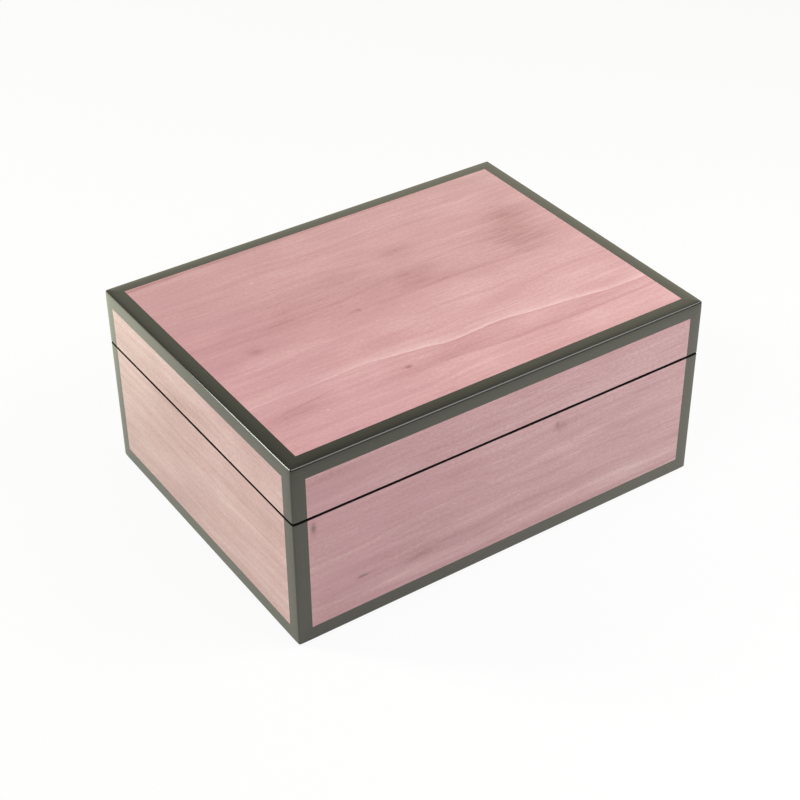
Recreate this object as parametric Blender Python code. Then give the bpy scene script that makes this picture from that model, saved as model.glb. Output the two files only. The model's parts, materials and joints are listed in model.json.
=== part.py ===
"""Veneered keepsake box with a hinged lid, built the way a box maker builds it.

Frame: the origin is the middle of the underside that the box stands on. +Z is up, -Y is the
front, where the lid lifts, and +Y is the back, where the two hinges are. All sizes are in metres.

Two halves, lid and base, are each made of mitred wall boards, a flat board that closes them, square
edging strips let into every outer edge, and dyed veneer panels laid flush between the strips. Card
panels covered in velvet line both halves. The base lining stands proud of the rim as a lip that
seats the lid, and a felt sheet covers the underside. Two milled brass hinges are let into the back
rims, and the heels behind their barrels meet when the lid has opened far enough.
"""

import math

import bmesh
import bpy
from mathutils import Vector

MM = 0.001

# Case
BOX_WIDTH = 203.2 * MM
BOX_DEPTH = 152.4 * MM
BASE_HEIGHT = 61.4 * MM
LID_HEIGHT = 26.0 * MM
SEAM_GAP = 0.5 * MM
WALL_THICKNESS = 9.5 * MM
VENEER_THICKNESS = 0.8 * MM
STRIP_WIDTH = 6.5 * MM
EDGE_RADIUS = 1.0 * MM
RIM_EASE = 0.45 * MM
FOOT_EASE = 0.3 * MM
GLUE_LINE = 0.1 * MM

# Felt under the box
FELT_THICKNESS = 0.9 * MM
FELT_INSET = 4.0 * MM
FELT_CORNER_RADIUS = 3.0 * MM

# Velvet lining
LINING_THICKNESS = 2.0 * MM
LINING_GAP = 0.25 * MM
LINING_ROUND = 0.7 * MM
LIP_HEIGHT = 2.5 * MM
CLOSING_GAP = 0.3 * MM
PAD_THICKNESS = 3.0 * MM
PAD_ROUND = 1.1 * MM

# Hinges
HINGE_INSET = 43.5 * MM
HINGE_LENGTH = 32.0 * MM
PIN_RADIUS = 1.0 * MM
PIN_CLEARANCE = 0.09 * MM
PIN_DOME = 0.35 * MM
BARREL_RADIUS = 2.3 * MM
BARREL_CLEARANCE = 0.25 * MM
MIDDLE_KNUCKLE = 14.0 * MM
KNUCKLE_GAP = 0.2 * MM
LEAF_THICKNESS = 2.85 * MM
LEAF_REACH = 7.3 * MM
LEAF_CORNER = 0.25 * MM
MORTISE_CLEARANCE = 0.15 * MM
OPEN_ANGLE = math.radians(95.0)
STOP_PLAY = math.radians(0.6)

# Countersunk hinge screws
SCREW_SPACING = 20.0 * MM
SCREW_HEAD_RADIUS = 1.8 * MM
SCREW_HEAD_EDGE = 0.2 * MM
SCREW_HEAD_DEPTH = 1.1 * MM
SCREW_SHANK_RADIUS = 0.95 * MM
SCREW_LENGTH = 9.0 * MM
SCREW_POINT = 1.8 * MM
SCREW_SLOT_WIDTH = 0.45 * MM
SCREW_SLOT_DEPTH = 0.45 * MM
SCREW_CLEARANCE = 0.12 * MM

# Cutters run this far past what they cut
OVERRUN = 2.0 * MM

# Facets
EDGE_STEPS = 5
EASE_STEPS = 2
BARREL_SIDES = 32
SCREW_SIDES = 20

# Levels, from the underside up
Z_WOOD = FELT_THICKNESS + GLUE_LINE
Z_WALL_FOOT = Z_WOOD + STRIP_WIDTH
Z_BASE_RIM = Z_WOOD + BASE_HEIGHT
Z_LID_RIM = Z_BASE_RIM + SEAM_GAP
Z_TOP = Z_LID_RIM + LID_HEIGHT
Z_WALL_HEAD = Z_TOP - STRIP_WIDTH
Z_PIN = (Z_BASE_RIM + Z_LID_RIM) / 2
Z_LIP = Z_BASE_RIM + LIP_HEIGHT

# Half a glue line, square to a joint, and what it takes off along a mitre
GLUE_HALF = GLUE_LINE / 2
MITRE_GAP = GLUE_LINE / math.sqrt(2)

# The sides in turn round the box, a quarter turn apart, and the corner at each one's left end
SIDES = ("front", "right", "back", "left")
CORNERS = {"front": "front_left", "right": "front_right", "back": "back_right", "left": "back_left"}

# Colour, roughness and metallic value of each finish
FINISHES = {
    "edging_lacquer": ((0.060, 0.060, 0.052), 0.10, 0.0),
    "veneer_lacquer": ((0.560, 0.290, 0.290), 0.12, 0.0),
    "core_board": ((0.030, 0.029, 0.026), 0.45, 0.0),
    "velvet": ((0.030, 0.029, 0.031), 0.95, 0.0),
    "felt": ((0.025, 0.025, 0.026), 1.00, 0.0),
    "brass": ((0.780, 0.560, 0.250), 0.22, 1.0),
}


def clear_scene():
    """Empties the scene."""
    for item in list(bpy.data.objects):
        bpy.data.objects.remove(item)


def finish(name):
    """The Principled material of one finish, made when first asked for."""
    found = bpy.data.materials.get(name)
    if found:
        return found
    colour, roughness, metallic = FINISHES[name]
    made = bpy.data.materials.new(name)
    made.use_nodes = True
    shader = made.node_tree.nodes["Principled BSDF"]
    shader.inputs["Base Color"].default_value = (*colour, 1.0)
    shader.inputs["Roughness"].default_value = roughness
    shader.inputs["Metallic"].default_value = metallic
    return made


def add_empty(name, location):
    """An empty that a half of the box hangs on."""
    empty = bpy.data.objects.new(name, None)
    empty.location = location
    bpy.context.scene.collection.objects.link(empty)
    return empty


def add_object(name, bm, finish_name=None):
    """An object from a bmesh, with its faces pointing out. One with no finish is a cutter."""
    bmesh.ops.recalc_face_normals(bm, faces=bm.faces)
    mesh = bpy.data.meshes.new(name)
    bm.to_mesh(mesh)
    bm.free()
    obj = bpy.data.objects.new(name, mesh)
    bpy.context.scene.collection.objects.link(obj)
    if finish_name:
        mesh.materials.append(finish(finish_name))
    else:
        obj.hide_render = True
        obj.display_type = "WIRE"
    return obj


def place(obj, parent, location, turn=0.0):
    """Hangs an object on an empty, at a place and a turn about Z that are given in the box's frame."""
    obj.parent = parent
    obj.location = Vector(location) - parent.location
    obj.rotation_euler.z = turn
    return obj


def shade(obj):
    """Smooth shading on the rounds, with crisp corners."""
    obj.data.shade_smooth()
    obj.data.set_sharp_from_angle(angle=math.radians(30))


def combine(obj, other, operation, keep_other=False):
    """Applies a Boolean of obj with other. A cutter is removed unless it serves again."""
    modifier = obj.modifiers.new(operation.lower(), "BOOLEAN")
    modifier.operation = operation
    modifier.solver = "EXACT"
    modifier.object = other
    bpy.context.view_layer.update()
    graph = bpy.context.evaluated_depsgraph_get()
    made = bpy.data.meshes.new_from_object(obj.evaluated_get(graph))
    obj.modifiers.remove(modifier)
    old = obj.data
    obj.data = made
    made.name = old.name
    bpy.data.meshes.remove(old)
    if not keep_other:
        bpy.data.objects.remove(other)
    return obj


def prism(outline, low, high, axis="Z"):
    """A bmesh that extrudes a flat outline along Z, or an outline of (y, z) points along X."""
    bm = bmesh.new()
    if axis == "Z":
        points = [(a, b, low) for a, b in outline]
        way = Vector((0, 0, high - low))
    else:
        points = [(low, a, b) for a, b in outline]
        way = Vector((high - low, 0, 0))
    face = bm.faces.new([bm.verts.new(p) for p in points])
    top = bmesh.ops.extrude_face_region(bm, geom=[face])["geom"]
    bmesh.ops.translate(bm, vec=way, verts=[v for v in top if isinstance(v, bmesh.types.BMVert)])
    return bm


def block(x0, x1, y0, y1, low, high):
    """A bmesh of a plain rectangular block."""
    return prism([(x0, y0), (x1, y0), (x1, y1), (x0, y1)], low, high)


def rounded(bm, edges, radius, steps):
    """Rounds edges of a bmesh with arcs."""
    bmesh.ops.bevel(bm, geom=edges, offset=radius, segments=steps, profile=0.5, affect="EDGES")
    return bm


def rod(radius, low, high, sides, centre=(0.0, 0.0)):
    """A bmesh of a round rod along X, about a line through (y, z)."""
    arc = [2 * math.pi * (i + 0.5) / sides for i in range(sides)]
    outline = [(centre[0] + radius * math.cos(a), centre[1] + radius * math.sin(a)) for a in arc]
    return prism(outline, low, high, "X")


def turned(profile, sides):
    """A bmesh of a profile of (radius, z) points turned about Z. Its two ends are on the axis."""
    bm = bmesh.new()
    rings = []
    for radius, z in profile:
        if radius == 0:
            rings.append([bm.verts.new((0, 0, z))])
            continue
        turns = [2 * math.pi * i / sides for i in range(sides)]
        rings.append([bm.verts.new((radius * math.cos(a), radius * math.sin(a), z)) for a in turns])
    for upper, lower in zip(rings, rings[1:]):
        for i in range(sides):
            j = (i + 1) % sides
            corners = [upper[i % len(upper)], lower[i % len(lower)]]
            corners += [lower[j % len(lower)], upper[j % len(upper)]]
            bm.faces.new(list(dict.fromkeys(corners)))
    return bm


def side_span(side):
    """The outer length of one side of the box."""
    return BOX_DEPTH if side in ("left", "right") else BOX_WIDTH


def place_on_side(obj, side, parent):
    """Places a piece that was drawn with X along the side, Y inwards from its outer face, and Z up."""
    turn = SIDES.index(side) * math.pi / 2
    reach = (BOX_WIDTH if side in ("left", "right") else BOX_DEPTH) / 2
    return place(obj, parent, (reach * math.sin(turn), -reach * math.cos(turn), 0), turn)


def envelope(name, low, high, eases):
    """The outside of one half as a cutter: rounded, apart from a top or bottom that is only eased.

    The eases give the small radius round such a face by the way it looks, 1 up or -1 down.
    """
    x, y = BOX_WIDTH / 2, BOX_DEPTH / 2
    bm = block(-x, x, -y, y, low, high)
    middle = (low + high) / 2

    def is_eased(edge):
        return any(all((v.co.z - middle) * way > 0 for v in edge.verts) for way in eases)

    rounded(bm, [e for e in bm.edges if not is_eased(e)], EDGE_RADIUS, EDGE_STEPS)
    for way, radius in eases.items():
        end = max(bm.faces, key=lambda face, way=way: face.calc_center_median().z * way)
        rounded(bm, list(end.edges), radius, EASE_STEPS)
    return add_object(name, bm)


def add_strip(name, side, low, high, skin, parent):
    """A square edging strip along the top or bottom edge of a side, mitred at both ends."""
    half = side_span(side) / 2 - MITRE_GAP
    outer, inner = -OVERRUN, STRIP_WIDTH - GLUE_HALF
    outline = [(outer - half, outer), (half - outer, outer), (half - inner, inner), (inner - half, inner)]
    strip = add_object(name, prism(outline, low, high), "edging_lacquer")
    place_on_side(strip, side, parent)
    combine(strip, skin, "INTERSECT", keep_other=True)
    shade(strip)
    return strip


def add_post(name, side, low, high, skin, parent):
    """The square edging strip that stands in the corner at the left end of a side."""
    end = -side_span(side) / 2
    inner = STRIP_WIDTH - GLUE_HALF
    bm = block(end - OVERRUN, end + inner, -OVERRUN, inner, low, high)
    post = place_on_side(add_object(name, bm, "edging_lacquer"), side, parent)
    combine(post, skin, "INTERSECT", keep_other=True)
    shade(post)
    return post


def add_wall_board(name, side, low, high, parent):
    """A wall's core board. Its ends are rebated for the corner posts and mitred behind them."""
    half = side_span(side) / 2
    face = VENEER_THICKNESS + GLUE_HALF
    rebate = STRIP_WIDTH + GLUE_HALF
    right = [
        (half - rebate, face),
        (half - rebate, rebate - MITRE_GAP),
        (half - WALL_THICKNESS - MITRE_GAP, WALL_THICKNESS),
    ]
    left = [(-x, y) for x, y in reversed(right)]
    board = add_object(name, prism(right + left, low, high), "core_board")
    return place_on_side(board, side, parent)


def add_side_veneer(name, side, low, high, skin, parent):
    """A veneer panel laid flush between the edging strips of a side, up to the rim."""
    half = side_span(side) / 2 - STRIP_WIDTH - GLUE_HALF
    bm = block(-half, half, -OVERRUN, VENEER_THICKNESS - GLUE_HALF, low, high)
    sheet = place_on_side(add_object(name, bm, "veneer_lacquer"), side, parent)
    combine(sheet, skin, "INTERSECT", keep_other=True)
    shade(sheet)
    return sheet


def add_flat_board(name, low, high, finish_name, parent):
    """A board or veneer that closes a half, let in between its four edging strips."""
    x = BOX_WIDTH / 2 - STRIP_WIDTH - GLUE_HALF
    y = BOX_DEPTH / 2 - STRIP_WIDTH - GLUE_HALF
    return place(add_object(name, block(-x, x, -y, y, low, high), finish_name), parent, (0, 0, 0))


def add_side_lining(name, side, low, high, parent):
    """A velvet-covered card panel against a wall. Front and back run through, and the ends butt."""
    outer = WALL_THICKNESS + LINING_GAP
    half = side_span(side) / 2 - outer
    if side in ("left", "right"):
        half -= LINING_THICKNESS + LINING_GAP
    bm = block(-half, half, outer, outer + LINING_THICKNESS, low, high)
    rounded(bm, list(bm.edges), LINING_ROUND, EASE_STEPS)
    panel = place_on_side(add_object(name, bm, "velvet"), side, parent)
    shade(panel)
    return panel


def add_pad(name, low, high, parent):
    """A velvet pad that fills the space between the four wall linings."""
    inset = WALL_THICKNESS + LINING_THICKNESS + 2 * LINING_GAP
    x, y = BOX_WIDTH / 2 - inset, BOX_DEPTH / 2 - inset
    bm = block(-x, x, -y, y, low, high)
    rounded(bm, list(bm.edges), PAD_ROUND, EASE_STEPS + 1)
    pad = place(add_object(name, bm, "velvet"), parent, (0, 0, 0))
    shade(pad)
    return pad


def add_felt(parent):
    """The felt sheet that the box stands on."""
    x, y = BOX_WIDTH / 2 - FELT_INSET, BOX_DEPTH / 2 - FELT_INSET
    bm = block(-x, x, -y, y, 0, FELT_THICKNESS)
    uprights = [e for e in bm.edges if e.verts[0].co.z != e.verts[1].co.z]
    rounded(bm, uprights, FELT_CORNER_RADIUS, EDGE_STEPS)
    felt = place(add_object("underside_felt", bm, "felt"), parent, (0, 0, 0))
    shade(felt)
    return felt


def hinge_places():
    """The middles of the left and right hinges along X, each set in from its end of the box."""
    offset = BOX_WIDTH / 2 - HINGE_INSET
    return -offset, offset


def knuckle_spans():
    """Where the knuckles lie along a hinge: the base leaf has the middle one, the lid leaf the ends."""
    end, middle = HINGE_LENGTH / 2, MIDDLE_KNUCKLE / 2
    inner = middle + KNUCKLE_GAP
    return {"base": [(-middle, middle)], "lid": [(-end, -inner), (inner, end)]}


def cut_screw_holes(obj, hinge_x, way, parent_location):
    """Drills one leaf's two countersunk holes, or the pilot holes that carry on below them."""
    for x in (-SCREW_SPACING / 2, SCREW_SPACING / 2):
        hole = add_object("screw_hole", turned(screw_profile(SCREW_CLEARANCE), SCREW_SIDES))
        seat_screw(hole, hinge_x + x, way)
        hole.location -= Vector(parent_location)
        combine(obj, hole, "DIFFERENCE")


def add_leaf(name, half, hinge_x, parent):
    """One milled brass leaf: plate, knuckles, radial stop heel, and room for the other's knuckles."""
    way = 1 if half == "lid" else -1
    end = HINGE_LENGTH / 2
    face = SEAM_GAP / 2
    back = face + LEAF_THICKNESS
    stop = (OPEN_ANGLE + STOP_PLAY) / 2
    foot, tip = face / math.tan(stop), back / math.tan(stop)
    outline = [(-LEAF_REACH, face), (foot, face), (tip, back), (-LEAF_REACH, back)]
    bm = prism([(y, way * z) for y, z in outline], -end, end, "X")
    broken = [e for e in bm.edges if is_upright(e) or all(v.co.y > foot for v in e.verts)]
    rounded(bm, broken, LEAF_CORNER, EASE_STEPS)
    leaf = add_object(name, bm, "brass")
    spans = knuckle_spans()
    other = "base" if half == "lid" else "lid"
    for low, high in spans[half]:
        combine(leaf, add_object("knuckle", rod(BARREL_RADIUS, low, high, BARREL_SIDES)), "UNION")
    for low, high in spans[other]:
        room = rod(BARREL_RADIUS + BARREL_CLEARANCE, low - KNUCKLE_GAP, high + KNUCKLE_GAP, BARREL_SIDES)
        combine(leaf, add_object("relief", room), "DIFFERENCE")
    bore = rod(PIN_RADIUS + PIN_CLEARANCE, -end - OVERRUN, end + OVERRUN, BARREL_SIDES)
    combine(leaf, add_object("bore", bore), "DIFFERENCE")
    cut_screw_holes(leaf, 0, way, (0, BOX_DEPTH / 2, Z_PIN))
    place(leaf, parent, (hinge_x, BOX_DEPTH / 2, Z_PIN))
    shade(leaf)
    return leaf


def is_upright(edge):
    """True for an edge that runs along Z."""
    way = edge.verts[1].co - edge.verts[0].co
    return abs(way.z) > max(abs(way.x), abs(way.y))


def add_pin(name, hinge_x, parent):
    """A hinge pin with domed ends, flush with the ends of the barrel."""
    end = HINGE_LENGTH / 2
    bm = rod(PIN_RADIUS, -end, end, BARREL_SIDES)
    rims = [e for e in bm.edges if abs(e.verts[0].co.x - e.verts[1].co.x) < PIN_DOME]
    rounded(bm, rims, PIN_DOME, EASE_STEPS)
    pin = place(add_object(name, bm, "brass"), parent, (hinge_x, BOX_DEPTH / 2, Z_PIN))
    shade(pin)
    return pin


def screw_profile(clearance=0.0):
    """A countersunk screw's outline from the top of its head to its point, or the hole that it needs."""
    head, shank = SCREW_HEAD_RADIUS + clearance, SCREW_SHANK_RADIUS + clearance
    top = OVERRUN if clearance else 0
    sink = SCREW_HEAD_EDGE + SCREW_HEAD_DEPTH
    point = SCREW_LENGTH + clearance
    return [
        (0, top),
        (head, top),
        (head, -SCREW_HEAD_EDGE - clearance),
        (shank, -sink - clearance),
        (shank, -SCREW_LENGTH + SCREW_POINT - clearance),
        (0, -point - clearance),
    ]


def seat_screw(obj, x, way):
    """Stands a turned screw or hole on its leaf's face, pointing into the lid or the base."""
    y = BOX_DEPTH / 2 - (LEAF_REACH + BARREL_RADIUS + BARREL_CLEARANCE) / 2
    z = Z_PIN + way * (SEAM_GAP / 2)
    obj.location = (x, y, z)
    if way > 0:
        obj.rotation_euler.x = math.pi


def add_screw(name, x, way, parent):
    """A slotted countersunk wood screw, its head flush with the leaf."""
    screw = add_object(name, turned(screw_profile(), SCREW_SIDES), "brass")
    reach = SCREW_HEAD_RADIUS + OVERRUN
    half = SCREW_SLOT_WIDTH / 2
    slot = add_object("slot", block(-reach, reach, -half, half, -SCREW_SLOT_DEPTH, OVERRUN))
    combine(screw, slot, "DIFFERENCE")
    seat_screw(screw, x, way)
    screw.location -= parent.location
    screw.parent = parent
    shade(screw)
    return screw


def cut_mortises(pieces, way):
    """Lets the two leaves of one half into its back board and back veneer, and drills the board."""
    length = HINGE_LENGTH / 2 + MORTISE_CLEARANCE
    inner = -LEAF_REACH - MORTISE_CLEARANCE
    floor = SEAM_GAP / 2 + LEAF_THICKNESS + MORTISE_CLEARANCE
    low, high = sorted((way * floor, -way * OVERRUN))
    for hinge_x in hinge_places():
        for piece in pieces:
            pocket = add_object("mortise", block(-length, length, inner, OVERRUN, low, high))
            pocket.location = (hinge_x, BOX_DEPTH / 2, Z_PIN)
            combine(piece, pocket, "DIFFERENCE")
        cut_screw_holes(pieces[0], hinge_x, way, (0, 0, 0))


def build_half(half, low, high, eases, parent):
    """The case of one half: edging strips, posts, wall boards and side veneers."""
    skin = envelope(half + "_outside", low, high, eases)
    if half == "lid":
        strip_levels = (Z_WALL_HEAD + GLUE_HALF, Z_TOP + OVERRUN)
        wall_levels = (Z_LID_RIM, Z_WALL_HEAD - GLUE_HALF)
        skin_levels = (Z_LID_RIM - OVERRUN, Z_WALL_HEAD - GLUE_HALF)
    else:
        strip_levels = (Z_WOOD - OVERRUN, Z_WALL_FOOT - GLUE_HALF)
        wall_levels = (Z_WALL_FOOT + GLUE_HALF, Z_BASE_RIM)
        skin_levels = (Z_WALL_FOOT + GLUE_HALF, Z_BASE_RIM + OVERRUN)
    made = {}
    for side in SIDES:
        add_strip(f"{half}_edging_{side}", side, *strip_levels, skin, parent)
        add_post(f"{half}_corner_post_{CORNERS[side]}", side, *skin_levels, skin, parent)
        board = add_wall_board(f"{half}_wall_{side}", side, *wall_levels, parent)
        sheet = add_side_veneer(f"{half}_veneer_{side}", side, *skin_levels, skin, parent)
        made[side] = [board, sheet]
    bpy.data.objects.remove(skin)
    cut_mortises(made["back"], 1 if half == "lid" else -1)


def build_base(parent):
    """Everything that stays put, apart from the hinges."""
    build_half("base", Z_WOOD, Z_BASE_RIM, {1: RIM_EASE, -1: FOOT_EASE}, parent)
    add_flat_board("base_bottom_board", Z_WOOD, Z_WALL_FOOT - GLUE_HALF, "core_board", parent)
    add_felt(parent)
    foot = Z_WALL_FOOT + GLUE_HALF
    for side in SIDES:
        add_side_lining(f"base_lining_{side}", side, foot, Z_LIP, parent)
    add_pad("base_floor_pad", foot, foot + PAD_THICKNESS, parent)


def build_lid(parent):
    """Everything that lifts, apart from the hinges."""
    build_half("lid", Z_LID_RIM, Z_TOP, {-1: RIM_EASE}, parent)
    face = Z_TOP - VENEER_THICKNESS
    add_flat_board("lid_top_board", Z_WALL_HEAD + GLUE_HALF, face - GLUE_HALF, "core_board", parent)
    add_flat_board("lid_veneer_top", face + GLUE_HALF, Z_TOP, "veneer_lacquer", parent)
    head = Z_WALL_HEAD - GLUE_HALF
    for side in SIDES:
        add_side_lining(f"lid_lining_{side}", side, Z_LIP + CLOSING_GAP, head, parent)
    add_pad("lid_ceiling_pad", head - PAD_THICKNESS, head, parent)


def build_hinge(label, hinge_x, base, lid):
    """One stop hinge: two leaves, a pin that stays in the base leaf, and four screws."""
    add_leaf(f"hinge_{label}_base_leaf", "base", hinge_x, base)
    add_leaf(f"hinge_{label}_lid_leaf", "lid", hinge_x, lid)
    add_pin(f"hinge_{label}_pin", hinge_x, base)
    for number, x in enumerate((-SCREW_SPACING / 2, SCREW_SPACING / 2), 1):
        add_screw(f"hinge_{label}_base_screw_{number}", hinge_x + x, -1, base)
        add_screw(f"hinge_{label}_lid_screw_{number}", hinge_x + x, 1, lid)


def main():
    """Builds the box, closed."""
    clear_scene()
    base = add_empty("base", (0, 0, 0))
    lid = add_empty("lid_on_hinge_line", (0, BOX_DEPTH / 2, Z_PIN))
    build_base(base)
    build_lid(lid)
    for label, hinge_x in zip(("left", "right"), hinge_places()):
        build_hinge(label, hinge_x, base, lid)


main()
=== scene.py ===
"""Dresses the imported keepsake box: lacquered edging and dyed veneer, velvet lining, brass hinges, studio."""

import json
import logging
import math
from dataclasses import dataclass, field
from enum import Enum

import bmesh
import bpy
import numpy as np
from mathutils import Matrix, Vector


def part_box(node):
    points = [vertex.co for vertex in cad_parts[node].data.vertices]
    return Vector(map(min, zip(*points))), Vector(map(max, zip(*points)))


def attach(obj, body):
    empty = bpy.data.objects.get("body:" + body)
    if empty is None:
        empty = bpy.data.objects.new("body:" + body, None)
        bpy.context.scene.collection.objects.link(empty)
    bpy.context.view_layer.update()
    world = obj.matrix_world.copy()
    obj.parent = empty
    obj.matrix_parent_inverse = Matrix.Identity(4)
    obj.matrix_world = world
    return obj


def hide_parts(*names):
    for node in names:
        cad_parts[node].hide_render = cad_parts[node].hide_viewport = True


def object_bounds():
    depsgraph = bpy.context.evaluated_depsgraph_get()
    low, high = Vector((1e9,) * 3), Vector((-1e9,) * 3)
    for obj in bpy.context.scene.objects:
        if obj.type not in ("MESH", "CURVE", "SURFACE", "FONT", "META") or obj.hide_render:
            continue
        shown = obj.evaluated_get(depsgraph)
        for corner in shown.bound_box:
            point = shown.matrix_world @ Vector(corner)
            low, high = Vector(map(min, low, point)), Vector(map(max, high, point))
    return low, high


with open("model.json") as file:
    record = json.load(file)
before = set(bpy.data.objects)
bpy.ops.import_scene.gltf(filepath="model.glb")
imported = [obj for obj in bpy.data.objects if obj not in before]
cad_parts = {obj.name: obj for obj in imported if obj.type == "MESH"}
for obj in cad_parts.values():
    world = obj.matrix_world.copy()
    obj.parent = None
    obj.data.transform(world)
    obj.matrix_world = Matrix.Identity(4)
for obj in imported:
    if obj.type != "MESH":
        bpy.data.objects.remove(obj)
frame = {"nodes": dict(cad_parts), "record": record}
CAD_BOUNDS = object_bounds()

LOG = logging.getLogger("keepsake_box")

MM = 0.001
# In millimetres: half the saw cut, and half the width over which the dark sealer on the rims gives way. That
# sealer also paints the shade of the saw cut onto the eased edges beside it.
SEAM_HALF = 0.25
SEAM_SHADE_FADE = 0.08
# Points closer than the first are one point. A grid line the second off a round keeps the flat flat.
MERGE_DISTANCE = 0.0005 * MM
SUPPORT = 0.12 * MM
# Faces that meet at less than the first are one flat face, and at more than the second have a crisp edge.
FLAT_ANGLE = math.radians(1)
SHARP_ANGLE = math.radians(32)
# In radians: this close to the next quarter turn, a point of an outline belongs to the next corner.
TURN_NUDGE = 1e-6

Rgb = tuple[float, float, float]
Span = tuple[float, float]


class Side(Enum):
    """The four sides, in turn round the box."""

    FRONT = "front"
    RIGHT = "right"
    BACK = "back"
    LEFT = "left"

    @property
    def turn(self) -> float:
        """The quarter turns from the front to this side, in radians."""
        return list(Side).index(self) * math.pi / 2

    @property
    def axis(self) -> int:
        """0 for a side that runs along X, and 1 for one along Y."""
        return list(Side).index(self) % 2

    @property
    def left_corner(self) -> str:
        """The name of the corner at this side's left end, seen from outside."""
        ends = sorted((self, list(Side)[list(Side).index(self) - 1]), key=lambda side: side.axis)
        return f"{ends[0].value}_{ends[1].value}"


class Half(Enum):
    """The two halves that the box was sawn into. Each is a CAD body."""

    BASE = "base"
    LID = "lid"


class Slot(Enum):
    """The record's material slots that new pieces take."""

    EDGING = "edging_lacquer"
    VENEER = "veneer_lacquer"
    VELVET = "velvet"
    FELT = "felt"
    BRASS = "brass"


# Shader maths


class Wire:
    """A socket in a shader, with arithmetic: an expression on wires adds its Math nodes."""

    def __init__(self, shader: "Shader", socket: bpy.types.NodeSocket) -> None:
        """Wraps an output socket of a shader."""
        self.shader = shader
        self.socket = socket

    def _math(self, operation: str, *values: "Wire | float") -> "Wire":
        """Adds one Math node with these inputs, in order."""
        return self.shader.node("ShaderNodeMath", {"operation": operation}, dict(enumerate(values)))

    def __add__(self, other: "Wire | float") -> "Wire":
        """self + other."""
        return self._math("ADD", self, other)

    __radd__ = __add__

    def __sub__(self, other: "Wire | float") -> "Wire":
        """self - other."""
        return self._math("SUBTRACT", self, other)

    def __rsub__(self, other: float) -> "Wire":
        """other - self."""
        return self._math("SUBTRACT", other, self)

    def __mul__(self, other: "Wire | float") -> "Wire":
        """self * other."""
        return self._math("MULTIPLY", self, other)

    __rmul__ = __mul__

    def __neg__(self) -> "Wire":
        """-self."""
        return self._math("MULTIPLY", self, -1.0)

    def abs(self) -> "Wire":
        """The size of self."""
        return self._math("ABSOLUTE", self)

    def exp(self) -> "Wire":
        """e to the power of self."""
        return self._math("EXPONENT", self)

    def at_least(self, other: "Wire | float") -> "Wire":
        """The larger of self and other."""
        return self._math("MAXIMUM", self, other)

    def step(self, low: float, high: float) -> "Wire":
        """A smooth step of self: 0 up to low, 1 from high, and an S curve between them.

        Args:
            low: where it leaves 0.
            high: where it reaches 1.

        Returns:
            The step.
        """
        settings = {"interpolation_type": "SMOOTHSTEP"}
        values = {"Value": self, "From Min": low, "From Max": high}
        return self.shader.node("ShaderNodeMapRange", settings, values)

    def bell(self, width: float) -> "Wire":
        """A bell curve of self: exp(-(self / width) squared)."""
        scaled = self * (1 / width)
        return (-(scaled * scaled)).exp()


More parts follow.
